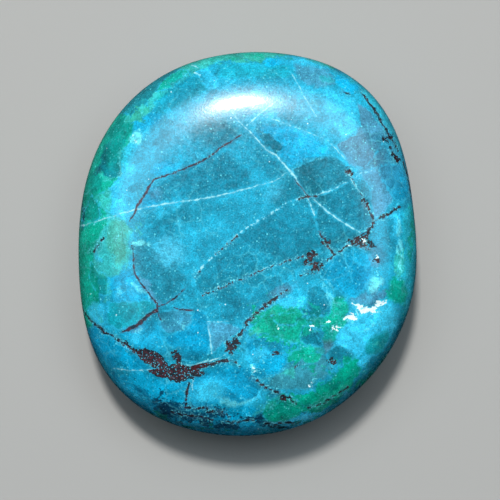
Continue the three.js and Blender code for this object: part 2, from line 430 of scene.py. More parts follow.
    (PINE, 0.7, 0.006, [(-800, -90), (-760, -150), (-710, -180), (-720, -260), (-770, -240), (-810, -160)]),
)

# Veins and fringes of colour: (colour, strength, softness as a share, lean, points of a line).
BANDS = traced_rows(
    (MINT, 0.95, 0.005, 5, [(-630, 615, 8), (-600, 635, 16), (-560, 660, 18), (-520, 685, 22),
        (-490, 725, 22), (-465, 765, 14), (-410, 795, 8), (-340, 845, 10), (-290, 880, 12)]),
    (ICE, 0.65, 0.005, 5, [(-675, 325, 2), (-650, 360, 5), (-642, 400, 4), (-650, 440, 6), (-632, 478, 5),
        (-610, 515, 3)]),
    (JADE, 0.6, 0.01, 5, [(-470, 740, 14), (-440, 760, 18), (-380, 775, 10), (-330, 790, 6)]),
    (MINT, 0.7, 0.006, 5, [(-785, 385, 6), (-760, 365, 14), (-735, 335, 8), (-700, 325, 8),
        (-675, 345, 6)]),
    (MINT, 0.6, 0.008, 0, [(-705, -180, 6), (-710, -240, 12), (-722, -300, 8)]),
    (PALE_JADE, 0.7, 0.01, 0, [(-800, -280, 6), (-785, -320, 14), (-765, -360, 12), (-740, -410, 8)]),
    (NAVY, 0.8, 0.008, 10, [(-860, 360, 4), (-855, 240, 6), (-850, 160, 12), (-855, 60, 6)]),
    (ICE, 0.6, 0.01, 5, [(-590, -190, 4), (-555, -225, 12), (-520, -250, 10), (-490, -275, 4)]),
    (HAZE_BLUE, 0.8, 0.01, 5, [(-560, -165, 6), (-520, -200, 14), (-500, -235, 16), (-470, -270, 10),
        (-440, -300, 6)]),
    (PALE_JADE, 0.8, 0.006, 5, [(10, -475, 6), (50, -440, 16), (90, -410, 12), (130, -330, 8)]),
    (MINT, 0.6, 0.005, 5, [(140, -455, 6), (180, -480, 8), (220, -490, 6), (260, -490, 4)]),
    (PINE, 0.8, 0.005, 5, [(30, -380, 3), (100, -375, 6), (170, -350, 5), (240, -370, 8), (300, -390, 6),
        (380, -385, 4)]),
    (MINT, 0.6, 0.004, 5, [(300, -360, 2), (340, -378, 3), (390, -370, 2)]),
    (MINT, 0.6, 0.004, 5, [(280, -430, 2), (320, -450, 3), (370, -435, 3)]),
    (MINT, 0.7, 0.006, 5, [(340, -520, 6), (370, -540, 14), (385, -560, 6)]),
    (MINT, 0.8, 0.008, 5, [(170, -660, 10), (205, -640, 22), (230, -650, 22), (250, -690, 4)]),
    (PINE, 0.65, 0.008, -10, [(270, -790, 4), (350, -770, 10), (440, -740, 8), (520, -690, 10),
        (580, -640, 6)]),
    (PINE, 0.7, 0.006, -10, [(320, -860, 4), (400, -825, 6), (480, -775, 8), (550, -715, 6)]),
    (JADE, 0.8, 0.01, -10, [(360, -800, 4), (440, -770, 12), (520, -715, 8)]),
    (CYAN, 0.8, 0.008, -10, [(-20, -840, 4), (20, -800, 18), (60, -770, 10), (80, -740, 4)]),
    (MINT, 0.6, 0.008, 5, [(20, -880, 4), (60, -850, 10), (100, -835, 12), (140, -800, 6)]),
    (NAVY, 0.9, 0.008, 5, [(0, -890, 10), (50, -895, 14), (100, -890, 8), (140, -900, 4)]),
    (BLACK_BROWN, 0.9, 0.005, 5, [(50, -925, 4), (90, -928, 8), (140, -938, 6), (200, -945, 6),
        (260, -935, 3)]),
    (BLACK_BROWN, 0.8, 0.005, 5, [(280, -855, 3), (285, -865, 5), (290, -880, 3)]),
    (NAVY, 0.85, 0.014, 5, [(-460, -790, 4), (-430, -845, 8), (-390, -880, 20), (-300, -875, 14),
        (-200, -870, 8), (-140, -880, 4)]),
    (NAVY, 0.8, 0.006, 5, [(-750, -660, 3), (-710, -715, 10), (-680, -745, 8), (-620, -785, 4)]),
    (SEA_GREEN, 0.8, 0.008, 5, [(845, 190, 3), (850, 100, 10), (845, 0, 8), (840, -100, 4)]),
    (ICE, 0.7, 0.006, 5, [(775, 140, 4), (772, 90, 12), (778, 40, 7), (774, 0, 10), (782, -50, 6),
        (786, -110, 8), (795, -150, 4)]),
    (MINT, 0.85, 0.008, 5, [(-795, -70, 2), (-782, -115, 6), (-750, -152, 7), (-700, -172, 4)]),
    (CYAN, 0.85, 0.012, 5, [(20, -435, 4), (-8, -455, 10), (-18, -500, 12), (0, -565, 6)]),
    (ICE, 0.6, 0.014, 5, [(-200, -720, 2), (-160, -770, 6), (-120, -805, 10), (-60, -816, 12), (0, -805, 8),
        (50, -775, 3)]),
    (ICE, 0.5, 0.006, 5, [(380, -180, 4), (400, -220, 10), (420, -260, 10), (425, -300, 4)]),
)

# Clouds and spots of colour: (u, v, half length, half breadth, turn in degrees, colour, strength,
# softness of the edge as a share of its size).
CLOUDS = spots(
    (-400, -40, 75, 60, -20, MILK, 0.9, 0.7),
    (-540, 0, 35, 14, 10, ICE, 0.95, 0.5),
    (650, -205, 35, 26, 30, ICE, 0.95, 0.6),
    (600, -270, 40, 12, 10, MILK, 0.7, 0.7),
    (50, -560, 60, 28, 25, CYAN, 0.95, 0.8),
    (140, 260, 50, 30, 30, MILK, 0.5, 0.8),
    (-200, -790, 60, 30, 20, CYAN, 0.7, 0.8),
    (-725, 455, 25, 45, 0, NAVY, 0.85, 0.6),
    (-770, 375, 22, 22, 0, NAVY, 0.8, 0.6),
    (590, -600, 35, 22, 30, CYAN, 0.9, 0.3),
    (-280, -580, 60, 20, 10, DEEP_BLUE, 0.7, 0.8),
    (-650, -245, 25, 12, 40, ICE, 0.4, 0.8),
    (-560, -440, 40, 14, 25, HAZE_BLUE, 0.7, 0.6),
    (-570, -480, 30, 18, 25, CYAN, 0.6, 0.8),
    (-490, -360, 30, 10, 35, MILK, 0.6, 0.6),
    (170, -240, 70, 25, 25, SLATE, 0.8, 0.6),
    (80, -285, 50, 30, 10, DEEP_TEAL, 0.6, 0.8),
    (120, -745, 50, 20, -30, DEEP_TEAL, 0.7, 0.8),
    (-460, 250, 30, 30, 0, SLATE, 0.7, 0.9),
    (710, -365, 50, 60, 0, PALE_AZURE, 0.9, 0.8),
    (745, -410, 25, 40, 0, PALE_AZURE, 0.7, 0.8),
    (600, 380, 35, 25, 0, SLATE_BLUE, 0.8, 0.8),
    (-370, -555, 60, 45, 0, DUSK_TEAL, 0.7, 0.9),
    (800, 310, 40, 60, 0, BRIGHT_BLUE, 0.8, 0.8),
    (710, 20, 40, 110, 0, DUSK_TEAL, 0.7, 0.9),
    (660, -40, 30, 50, 0, SLATE_BLUE, 0.7, 0.9),
    (570, -285, 30, 20, 20, SLATE_BLUE, 0.9, 0.7),
    (-200, -745, 75, 45, 20, PALE_AZURE, 0.7, 0.9),
    (-550, -800, 80, 30, -25, BRIGHT_BLUE, 0.9, 0.8),
    (-360, 770, 130, 50, 30, DUSK_TEAL, 0.75, 0.8),
    (-780, -350, 40, 50, 20, CYAN, 0.7, 0.8),
    (300, 940, 80, 25, -15, CYAN, 0.7, 0.8),
    (300, -905, 80, 25, 10, PALE_AZURE, 0.9, 0.7),
    (-250, -900, 100, 20, -5, BRIGHT_BLUE, 0.8, 0.8),
)

# Broad soft shades, as the clouds above but all of one softness: mostly darker tones of the stone, and at
# the right painted shade that dims the haze of the lights.
SHADES = spots(
    # under the long hairline, and over it
    (-330, 140, 220, 55, 12, DEEP_TEAL, 0.6),
    (-530, 130, 60, 50, 0, DEEP_TEAL, 0.35),
    (-300, 275, 120, 40, 12, DUSK_TEAL, 0.6),
    (200, 300, 55, 50, 0, DEEP_TEAL, 0.5),
    # in and round the dark blocks
    (340, 245, 55, 50, 0, DEEP_TEAL, 0.7),
    (340, -20, 60, 150, 0, DEEP_TEAL, 0.7),
    (160, -110, 130, 50, 15, DEEP_TEAL, 0.65),
    (510, 0, 120, 60, -10, DEEP_TEAL, 0.6),
    # under the dotted lines
    (-120, -230, 240, 60, 15, DEEP_TEAL, 0.55),
    (-460, -360, 100, 50, 0, DEEP_TEAL, 0.65),
    (-220, -600, 120, 50, 5, DEEP_TEAL, 0.75),
    (340, -350, 50, 40, 0, DEEP_TEAL, 0.75),
    (360, -480, 80, 55, 0, DEEP_TEAL, 0.55),
    # painted shade over the haze of the lights at the right; the far shoulder
    (680, 420, 90, 170, 0, SLATE_BLUE, 0.8),
    (700, 510, 50, 50, 0, DUSK_TEAL, 0.6),
    (330, -90, 60, 60, 0, DEEP_TEAL, 0.8),
    (460, 0, 60, 80, 0, GREY_TEAL, 0.5),
    (330, 275, 65, 55, 0, DEEP_TEAL, 0.8),
    (-660, 450, 60, 60, 0, PINE, 0.5),
    (580, 255, 50, 75, 0, GREY_TEAL, 0.75),
    (-260, 870, 130, 50, 20, DUSK_TEAL, 0.4),
    (-350, 760, 110, 50, 30, DUSK_TEAL, 0.45),
    (-160, 610, 220, 70, -10, DEEP_TEAL, 0.5),
    (-670, 520, 60, 120, -15, PINE, 0.85),
    (-790, 270, 40, 70, 0, PINE, 0.6),
    (-400, -845, 90, 40, -10, NAVY, 0.8),
    (-270, -850, 100, 40, 0, DEEP_BLUE, 0.6),
    (-720, -620, 60, 110, 25, DEEP_BLUE, 0.35),
)
SHADE_SOFTNESS = 0.9

# Patches where one colour shows through another in clumps: (u, v, half length, half breadth, turn,
# colour, strength, how many clumps to the unit, how thin they are in the middle).
CLUMPS = spots(
    (-220, -875, 300, 50, 0, NAVY, 0.9, 15.0, 0.42),
    (-50, -860, 250, 40, 0, PALE_AZURE, 0.8, 17.7, 0.5),
    (-550, -790, 120, 50, -30, PALE_AZURE, 0.7, 21.2, 0.52),
    (-680, -620, 110, 150, 30, DEEP_TEAL, 0.7, 9.3, 0.44),
    (-580, -740, 160, 60, -20, DEEP_BLUE, 0.8, 14.3, 0.44),
    (-620, -640, 160, 80, -20, CYAN, 0.6, 25.6, 0.52),
    (-400, -830, 85, 50, -25, NAVY, 0.9, 17.0, 0.38),
    (-100, -930, 250, 40, 0, NAVY, 0.85, 13.0, 0.43),
    (-300, -830, 200, 30, 0, BLACK_BROWN, 0.8, 38.0, 0.52),
    (-460, -900, 80, 30, -25, PINE, 0.95, 11.0, 0.38),
    (-200, -950, 200, 25, 0, PINE, 0.9, 12.0, 0.45),
    (-360, -400, 100, 70, 0, ICE, 0.5, 21.0, 0.53),
    (-530, -440, 80, 50, 20, ICE, 0.45, 23.0, 0.54),
    (140, -390, 150, 90, 25, PALE_JADE, 0.85, 17.0, 0.46),
    (170, -400, 150, 90, 0, GREEN_TEAL, 0.8, 12.5, 0.55),
    (200, -420, 160, 90, 0, PINE, 0.85, 20.0, 0.55),
    (240, -300, 130, 30, 0, ICE, 0.7, 24.0, 0.54),
    (460, -360, 70, 120, -20, MINT, 0.75, 16.0, 0.48),
    (450, -440, 50, 100, -10, PINE, 0.8, 18.0, 0.52),
    (300, -450, 120, 80, 0, SEA_GREEN, 0.8, 14.0, 0.48),
    (280, -540, 140, 50, 15, JADE, 0.9, 16.2, 0.44),
    (160, -400, 170, 100, 10, JADE, 0.95, 10.8, 0.36),
    (360, -420, 120, 100, 0, SEA_GREEN, 0.9, 12.8, 0.41),
    (300, -640, 140, 60, 20, GREEN_TEAL, 0.6, 11.4, 0.52),
    (440, -640, 120, 80, 30, SEA_GREEN, 0.85, 13.1, 0.45),
    (420, -780, 200, 55, 38, JADE, 0.9, 12.1, 0.4),
    (280, -810, 100, 60, 20, SEA_GREEN, 0.95, 12.7, 0.34),
    (520, -610, 70, 50, 40, SEA_GREEN, 0.9, 13.9, 0.38),
    (180, -890, 120, 30, 0, JADE, 0.8, 18.1, 0.46),
    (300, -920, 200, 20, 8, PINE, 0.85, 14.9, 0.46),
    (-640, -500, 70, 50, 20, ICE, 0.5, 27.7, 0.54),
    (100, -800, 100, 60, 30, GREEN_TEAL, 0.8, 16.8, 0.47),
    (620, -640, 150, 30, 42, GREEN_TEAL, 0.7, 18.8, 0.46),
    (35, -635, 36, 28, 50, ICE, 0.85, 31.0, 0.44),
    (330, -710, 80, 20, 30, ICE, 0.5, 32.0, 0.52),
    (330, -830, 160, 70, 25, PINE, 0.8, 13.7, 0.52),
    (600, -330, 110, 40, 10, ICE, 0.8, 36.0, 0.5),
    (520, -390, 80, 30, 20, ICE, 0.7, 35.0, 0.52),
    (170, -840, 110, 70, 0, JADE, 0.85, 15.5, 0.48),
    (170, -830, 110, 80, 0, PINE, 0.9, 22.0, 0.51),
    (160, -810, 120, 80, 0, BLACK_BROWN, 0.8, 33.0, 0.57),
    (450, -760, 200, 60, 38, JADE, 0.8, 14.5, 0.5),
    (500, -650, 80, 60, 30, JADE, 0.8, 18.5, 0.48),
    (620, -420, 130, 70, 20, ICE, 0.45, 26.0, 0.54),
    (660, -510, 60, 40, 30, MINT, 0.7, 20.5, 0.5),
    (760, -370, 25, 80, -20, JADE, 0.8, 19.5, 0.5),
    (770, -130, 30, 130, 0, CYAN, 0.6, 22.5, 0.52),
    (790, -220, 40, 100, 0, PINE, 0.7, 21.5, 0.52),
    (640, -100, 70, 120, 0, HAZE_BLUE, 0.7, 13.5, 0.48),
    (600, 620, 100, 80, -40, HAZE_BLUE, 0.7, 10.5, 0.5),
    (-670, 20, 60, 130, 0, CYAN, 0.6, 16.5, 0.54),
    (-750, -70, 40, 60, 20, CYAN, 0.5, 11.5, 0.42),
    (-560, 70, 60, 50, 0, MINT, 0.85, 23.5, 0.48),
    (-590, -60, 20, 100, 0, DEEP_TEAL, 0.8, 25.0, 0.5),
    (-780, 200, 60, 250, 0, PINE, 0.8, 12.2, 0.53),
    (-760, 300, 60, 250, 0, JADE, 0.8, 13.2, 0.56),
    (-820, 0, 40, 250, 0, JADE, 0.85, 17.5, 0.46),
    (-740, 420, 40, 100, 0, NAVY, 0.8, 24.5, 0.54),
    (-570, 540, 45, 40, 0, WHITE, 0.7, 30.0, 0.5),
    (-670, -10, 50, 120, 0, PINE, 0.6, 26.5, 0.56),
    (-660, 60, 50, 80, 0, ICE, 0.55, 21.8, 0.54),
    (-620, -370, 110, 50, 10, ICE, 0.6, 40.0, 0.57),
    (660, -150, 50, 80, 0, ICE, 0.6, 30.5, 0.54),
    (300, -350, 180, 60, 0, ICE, 0.7, 44.0, 0.6),
    (-560, 660, 90, 50, 45, PALE_JADE, 0.9, 20.2, 0.44),
    (-300, 900, 120, 40, 30, MINT, 0.7, 19.2, 0.5),
    (50, 960, 300, 30, 0, JADE, 0.8, 11.2, 0.48),
    (-700, -330, 70, 60, 0, CYAN, 0.6, 18.2, 0.52),
    (-620, -340, 120, 40, 10, GREEN_TEAL, 0.6, 9.5, 0.46),
    (-740, -480, 60, 100, 20, CYAN, 0.5, 15.2, 0.53),
    (-450, 380, 80, 40, 20, BRIGHT_BLUE, 0.8, 28.0, 0.5),
    (400, 850, 120, 50, -30, GREEN_TEAL, 0.6, 10.2, 0.48),
)


# ---------------------------------------------------------------- shape

MEAN_RADIUS = 29.7 * MM
OUTLINE_LOBES = (  # how many lobes, how high as a share of the radius, and where the first one peaks
    (2, 0.068, 80),
    (4, 0.019, 50),
    (3, 0.0025, -22),
    (5, 0.0046, -12),
    (6, 0.0053, -12),
)
GIRTH_HEIGHT = 7.6 * MM
CROWN_HEIGHT = 9.4 * MM
CROWN_FLATNESS = 5.4
UNDERSIDE_DEPTH = 7.8 * MM
UNDERSIDE_FLATNESS = 4.2
CROWN_SHIFT = 1.2 * MM
FLAT_MARGIN = 0.1 * MM  # up to here the ground flat is left true
CUTS = 127  # across each of the six faces that the stone is blown up from

HOLLOW_SPREAD = 1.35  # how far past its edge a spot of brown mineral or quartz wears down
GROOVE_REACH = 0.016
WAVE_HEIGHT = 0.025 * MM  # what the hand polish left of ups and downs
PIT_DEPTH = 0.16 * MM
GROOVE_DEPTH = 0.09 * MM
CRYSTAL_HEIGHT = 0.12 * MM
WAVES, GRIT, CRYSTALS = 5, 60, 45  # how many to the half length
UPWARD = 0.2  # a normal's height over which a place belongs to the crown
MAP_RADIUS = 0.24  # of each of the two discs that the surface is laid out in


def outline_stretch(direction):
    """How much wider or narrower the outline is than a circle, in a direction in radians."""
    return 1 + sum(
        share * math.cos(count * (direction - math.radians(peak)))
        for count, share, peak in OUTLINE_LOBES
    )


def section_rise(share_out, flatness):
    """How far the section rises from the girth, as a share of its full rise."""
    return math.sqrt(max(0.0, 1 - share_out**flatness))


def stone_point(direction):
    """The place on the stone that a unit direction from its middle stands for."""
    share_out = math.hypot(direction.x, direction.y)
    radius = MEAN_RADIUS * outline_stretch(math.atan2(direction.y, direction.x))
    if direction.z > 0:
        rise = section_rise(share_out, CROWN_FLATNESS)
        height = GIRTH_HEIGHT + CROWN_HEIGHT * rise
    else:
        rise = 0.0
        height = max(0.0, GIRTH_HEIGHT - UNDERSIDE_DEPTH * section_rise(share_out, UNDERSIDE_FLATNESS))
    return Vector((radius * direction.x + CROWN_SHIFT * rise**2, radius * direction.y, height))


def crown_level(u, v):
    """How far the crown's surface lies below its top at a place of the pattern, as a share."""
    radius = MEAN_RADIUS * SHARE * outline_stretch(math.atan2(v, u))
    share_out = min(1.0, math.hypot(u, v) / radius)
    return CROWN_HEIGHT * SHARE * (section_rise(share_out, CROWN_FLATNESS) - 1)


def fit_to_frame(bm):
    """Scales and moves the stone into the box of its CAD node."""
    low = Vector([min(vert.co[axis] for vert in bm.verts) for axis in range(3)])
    high = Vector([max(vert.co[axis] for vert in bm.verts) for axis in range(3)])
    sizes = [(HIGHEST[axis] - LOWEST[axis]) / (high[axis] - low[axis]) for axis in range(3)]
    bmesh.ops.translate(bm, verts=bm.verts, vec=-low)
    bmesh.ops.scale(bm, verts=bm.verts, vec=sizes)
    bmesh.ops.translate(bm, verts=bm.verts, vec=LOWEST)


def link(name, mesh):
    piece = bpy.data.objects.new(name, mesh)
    bpy.context.scene.collection.objects.link(piece)
    return piece


def hollow(u, v, spot):
    """How far a place is inside a spot's hollow, from 0 on its rim to 1 in its middle."""
    middle_u, middle_v, length, breadth, turn = spot
    turn = math.radians(turn)
    ahead = (u - middle_u) * math.cos(turn) + (v - middle_v) * math.sin(turn)
    aside = (v - middle_v) * math.cos(turn) - (u - middle_u) * math.sin(turn)
    return max(0.0, 1 - math.hypot(ahead / length, aside / breadth) / HOLLOW_SPREAD)


def groove(u, v, points):
    """How far a place is inside the groove along an open crack, from 0 to 1 on its line."""
    nearest = GROOVE_REACH
    place = Vector((u, v))
    for start, end in zip(points, points[1:]):
        start, end = Vector(start), Vector(end)
        foot, share = intersect_point_line(place, start, end)
        foot = start.lerp(end, min(1.0, max(0.0, share)))
        nearest = min(nearest, (place - foot).length)
    return 1 - nearest / GROOVE_REACH


def wear(vert):
    """How far the surface lies under the smooth form at a place, for pits, cracks and waves."""
    u, v = vert.co.x * SHARE, vert.co.y * SHARE
    depth = WAVE_HEIGHT * noise.noise(vert.co * SHARE * WAVES)
    if vert.normal.z < UPWARD:
        return depth
    grit = 0.6 + 0.8 * noise.noise(vert.co * SHARE * GRIT)
    depth += PIT_DEPTH * grit * max(hollow(u, v, spot) for spot in BROWN_CLUSTERS) ** 0.5
    depth += GROOVE_DEPTH * max(groove(u, v, points) for points in OPEN_CRACKS)
    druse = max(hollow(u, v, spot) for spot in DRUSE)
    crystal = 1.2 - 2.4 * abs(noise.noise(vert.co * SHARE * CRYSTALS))
    return depth + CRYSTAL_HEIGHT * druse**0.5 * crystal


def flatten_on_map(bm):
    """Lays the crown and the underside out as two discs on a map, so that a bake is even."""
    layer = bm.loops.layers.uv.new("OFBake")
    for face in bm.faces:
        over = face.calc_center_median().z > GIRTH_HEIGHT
        middle = 0.25 if over else 0.75
        rise = CROWN_HEIGHT if over else UNDERSIDE_DEPTH
        for loop in face.loops:
            place = loop.vert.co
            out = math.hypot(place.x, place.y)
            reach = (out + abs(place.z - (GIRTH_HEIGHT + rise if over else 0))) / (HALF_LENGTH + rise)
            stretch = MAP_RADIUS * reach / max(out, 0.01 * MM)
            loop[layer].uv = (middle + place.x * stretch, 0.5 + place.y * stretch)


def make_stone():
    """A cube cut into a fine, even net, blown up to a ball and pressed to the stone's shape."""
    bm = bmesh.new()
    bmesh.ops.create_cube(bm, size=2)
    bmesh.ops.subdivide_edges(bm, edges=bm.edges, cuts=CUTS, use_grid_fill=True)
    for vert in bm.verts:
        evened = Vector([math.tan(side * math.pi / 4) for side in vert.co])
        vert.co = stone_point(evened.normalized())
    fit_to_frame(bm)
    flatten_on_map(bm)
    bm.normal_update()
    sinks = [vert.normal * wear(vert) for vert in bm.verts]
    for vert, sink in zip(bm.verts, sinks):
        if vert.co.z > FLAT_MARGIN:
            vert.co -= sink
    for face in bm.faces:
        face.smooth = True
    mesh = bpy.data.meshes.new("polished_stone")
    bm.to_mesh(mesh)
    bm.free()
    return link("polished_stone", mesh)


# ---------------------------------------------------------------- material

FADE = -0.1  # half width that a line is given past its ends, so that it is nowhere near
WIDEST = 0.05
BLUNT = 0.015  # share of a line's length in which its ends close
PATCH_DEPTH = 0.06  # what a patch reaches into the stone beyond its own half length
FLAT_AXES = ((1, 0, 0), (0, 1, 0))
UP = (0, 0, 1)
STRAIGHT_STEP = 0.06  # an outline's longer sides are cut into steps of about this length
CRISP = 0.0080  # blocks with an edge narrower than this are straight-sided
CLUMP_NOISE = (4.0, 0.62)  # detail and roughness
CLUMP_REACH = 0.4  # how much thinner the clumps get from a patch's middle to far outside it
CLUMP_EDGE = 0.02

BODY_TONES = (TEAL, BLUE, DUSK_TEAL, CYAN, SEA_GREEN, AZURE, DEEP_TEAL, TEAL, JADE, BLUE)
BODY_STIR = (2.5, 0.5, 5.0, 0.6)  # scale, reach, detail, roughness
BODY_BLOCKS = 2.6  # to the half length
BODY_VEINS = (2.2, 4.0, 0.55)  # scale, detail, roughness
BODY_VEIN_PATCHES = 1.7  # scale of the noise that says where they show
BODY_VEIN_SHADOW = (0.035, 0.0)
BODY_VEIN_CORE = (0.010, 0.004)
BODY_EDGE = (7.0, 4.0, 0.6)  # the noise in the level where the body's blocks take over
BODY_TOP, BODY_FULL = -0.33, -0.39  # the levels between which the body's blocks take over
BODY_UNEVENNESS = 0.25

MOTTLES = (  # scale, detail, roughness, darkest and lightest
    (4.0, 6.0, 0.65, 0.77, 1.23),
    (24.0, 5.0, 0.75, 0.79, 1.21),
    (120.0, 2.0, 0.8, 0.68, 1.32),
)
MOTTLE_LEVELS = (0.25, 0.75)  # of the noise, from which the darkest and the lightest are reached
FACETS = ((9.0, 0.88, 1.12), (26.0, 0.88, 1.12))  # scale, darkest and lightest
CRACKLES = (  # scale, width of the line, strength, colour, scale of the patches where it shows
    (4.0, 0.020, 0.30, CYAN, 2.3),
    (9.0, 0.045, 0.22, ICE, 3.1),
    (7.0, 0.040, 0.35, DEEP_TEAL, 2.9),
)
CRACKLE_PATCHES = (3.0, 0.6)  # detail and roughness
CRACKLE_LEVELS = (0.48, 0.62)
SPECKS = (  # scale, size, share of the cells that have one, strength, colour
    (36.0, 0.16, 0.08, 0.85, WHITE),
    (60.0, 0.34, 0.13, 0.70, ICE),
    (100.0, 0.50, 0.22, 0.40, ICE),
)
SPECK_EDGE = 0.06

# Ways to move a place about, so that edges wander: scale, reach, detail and roughness of the noise.
WANDER = (18.0, 0.02, 4.0, 0.65)
RAGGED = (16.0, 0.05, 5.0, 0.75)
SPLINTERS = (34.0, 0.022)  # scale and reach of the angular cells
JAGGED = (5.0, 0.12, 4.0, 0.6)

# Noises, as scale, detail and roughness.
BREAKS = (45.0, 2.0, 0.6)
FLECKS = (70.0, 2.0, 0.7)
GLEAMS = (16.0, 3.0, 0.7)
SUGAR = (105.0, 1.0, 0.5)
DUST = (130.0, 0.0, 0.5)
POLISH = (60.0, 3.0, 0.6)
RIPPLES = (12.0, 3.0, 0.5)
PORES = (90.0, 2.0, 0.6)

# How a noise frays an edge: from and to which level of the noise, and what it adds to the depth.
THIN_FRAY = (0.35, 0.65, -0.0035, 0.001)
DOT_FRAY = (0.44, 0.58, -0.009, 0.003)
BROWN_FRAY = (0.40, 0.60, -0.007, 0.003)
CLUSTER_FRAY = (0.3, 0.7, -0.22, 0.16)
DRUSE_FRAY = (0.3, 0.7, -0.2, 0.2)

# From and to which depth, or level of a noise, a finish comes in, and how weak and how strong it is.
PALE_GLOW = (-0.018, 0.004, 0, 0.20)
PALE_CORE = (-0.0025, 0.0035)
GLEAM_SPREAD = (0.36, 0.62, 0.38, 0.92)
RED_SHADOW = (-0.012, 0.004, 0, 0.3)
RED_CORE = (-0.003, 0.003, 0, 0.9)
RED_RUST = (0.40, 0.55)
BROWN_SHADOW = (-0.014, 0.004, 0, 0.4)
BROWN_CORE = (-0.003, 0.003, 0, 0.95)
BROWN_RUST = (0.53, 0.63)
SUGAR_BESIDE = (-0.022, -0.002, 0, 0.7)
SUGAR_GRAINS = (0.57, 0.63)
MASS_EDGE = (-0.018, 0.010)
MASS_CORE = (0.43, 0.50, 0, 0.97)
MASS_HEART = (0.55, 0.85, 0, 0.9)
MASS_RUST = (0.46, 0.54)
DUST_GRAINS = (0.66, 0.72, 0, 0.7)
FROST_EDGE = (0.15, 0.45)
FROST_GRAINS = (0.48, 0.56, 0, 0.8)
QUARTZ_CORE = (0.46, 0.56)
QUARTZ_DULL = (0.45, 0.52)
SEAM_GLINT = (-0.012, 0.0)
GLINT_SPREAD = (0.4, 0.6, 0, 0.5)
ROUGHNESS_SPREAD = (0.3, 0.7, 0.20, 0.32)

ROUGH_MINERAL = 0.35  # how much rougher brown mineral and quartz are than the polished blue
RELIEF_STRENGTH = 0.35
RELIEF_HEIGHT = 0.03 * MM
GLOSS = 0.3
COAT_WEIGHT = 0.5
COAT_ROUGHNESS = 0.06


class Recipe:
    """Adds nodes to one material. Each call returns the socket that carries its result."""

    def __init__(self, material):
        self.tree = material.node_tree

    def add(self, kind, inputs=(), **settings):
        node = self.tree.nodes.new("ShaderNode" + kind)
        for name, value in settings.items():
            setattr(node, name, value)
        for name, value in dict(inputs).items():
            self.feed(node.inputs[name], value)
        return node

    def feed(self, socket, value):
        if isinstance(value, bpy.types.NodeSocket):
            self.tree.links.new(value, socket)
        elif socket.type == "RGBA":
            socket.default_value = (*value, 1)
        else:
            socket.default_value = value

    def math(self, operation, *values):
        return self.add("Math", enumerate(values), operation=operation).outputs[0]

    def smooth(self, value, start, end, low=0.0, high=1.0):
        """low up to start and high from end on, with a smooth slope between. start may be over end."""
        inputs = {"Value": value, "From Min": start, "From Max": end, "To Min": low, "To Max": high}
        return self.add("MapRange", inputs, interpolation_type="SMOOTHSTEP").outputs[0]

    def mix(self, share, under, over):
        node = self.add("Mix", {0: share, 6: under, 7: over}, data_type="RGBA")
        return node.outputs[2]

    def noise(self, place, scale, detail=2.0, roughness=0.5, colour=False):
        inputs = {"Vector": place, "Scale": scale, "Detail": detail, "Roughness": roughness}
        return self.add("TexNoise", inputs).outputs["Color" if colour else "Fac"]

    def shade(self, colour, level):
        return self.add("VectorMath", {0: colour, "Scale": level}, operation="SCALE").outputs[0]

    def cells(self, place, scale, feature="F1", output="Color"):
        settings = {"Vector": place, "Scale": scale}
        return self.add("TexVoronoi", settings, feature=feature).outputs[output]

    def shift(self, place, colour, reach):
        """place, moved by up to half of reach each way, as a random colour says."""
        middle = self.add("VectorMath", {0: colour, 1: (0.5, 0.5, 0.5)}, operation="SUBTRACT")
        inputs = {0: middle.outputs[0], 1: (reach, reach, reach), 2: place}
        return self.add("VectorMath", inputs, operation="MULTIPLY_ADD").outputs[0]

    def stir(self, place, scale, reach, detail, roughness):
        """place, moved about by up to about a fifth of reach."""
        return self.shift(place, self.noise(place, scale, detail, roughness, colour=True), reach)

    def splinter(self, place, scale, reach):
        """place, moved a random way in each of many small angular cells, which makes edges jagged."""
        return self.shift(place, self.cells(place, scale), reach)


class StoneRecipe(Recipe):
    """A recipe that knows the places on this stone, true and moved about, and its two main noises."""

    def __init__(self, material):
        super().__init__(material)
        own = self.add("TexCoord").outputs["Object"]
        top = (0.0, 0.0, HIGHEST.z)
        inputs = {"Vector": own, "Location": top, "Scale": (HALF_LENGTH,) * 3}
        self.place = self.add("Mapping", inputs, vector_type="TEXTURE").outputs[0]
        self.traced = self.stir(self.place, *WANDER)
        self.ragged = self.splinter(self.stir(self.place, *RAGGED), *SPLINTERS)
        self.jagged = self.stir(self.place, *JAGGED)
        self.broken = self.noise(self.place, *BREAKS)
        self.fleck = self.noise(self.place, *FLECKS)


def draw_curve(node, points):
    """Sets a Float Curve node to straight stretches between points."""
    curve = node.mapping.curves[0]
    curve.points[0].location = points[0]
    curve.points[1].location = points[-1]
    for x, y in points[1:-1]:
        curve.points.new(x, y)
    for point in curve.points:
        point.handle_type = "VECTOR"
    node.mapping.update()


def project(make, place, direction, start=0.0):
    """How far place lies along a direction, counted from start."""
    node = make.add("VectorMath", {0: place, 1: direction}, operation="DOT_PRODUCT")
    return make.math("SUBTRACT", node.outputs["Value"], start)


def lay_sheet(make, place, points, lean):
    """A sheet that cuts down through the stone from points on its crown. Gives the distance from
    it, over 0 on the left of the way the points run, the distance along it from 0 to 1, and the
    points' own distances along it."""
    marks = [Vector((u, v, crown_level(u, v))) for u, v, *_ in points]
    run = marks[-1] - marks[0]
    length = math.hypot(run.x, run.y)
    turn = Euler((math.radians(lean), 0, math.atan2(run.y, run.x))).to_matrix()
    ahead, aside = turn.col[0] / length, turn.col[1]
    shares = [ahead.dot(mark - marks[0]) for mark in marks]
    strays = [aside.dot(mark - marks[0]) for mark in marks]
    along = project(make, place, ahead, ahead.dot(marks[0]))
    path = make.add("FloatCurve", {"Value": along})
    draw_curve(path, [(share, 0.5 + stray / length) for share, stray in zip(shares, strays)])
    bend = make.math("MULTIPLY_ADD", path.outputs[0], length, aside.dot(marks[0]) - 0.5 * length)
    offset = make.math("SUBTRACT", project(make, place, aside), bend)
    return offset, along, shares


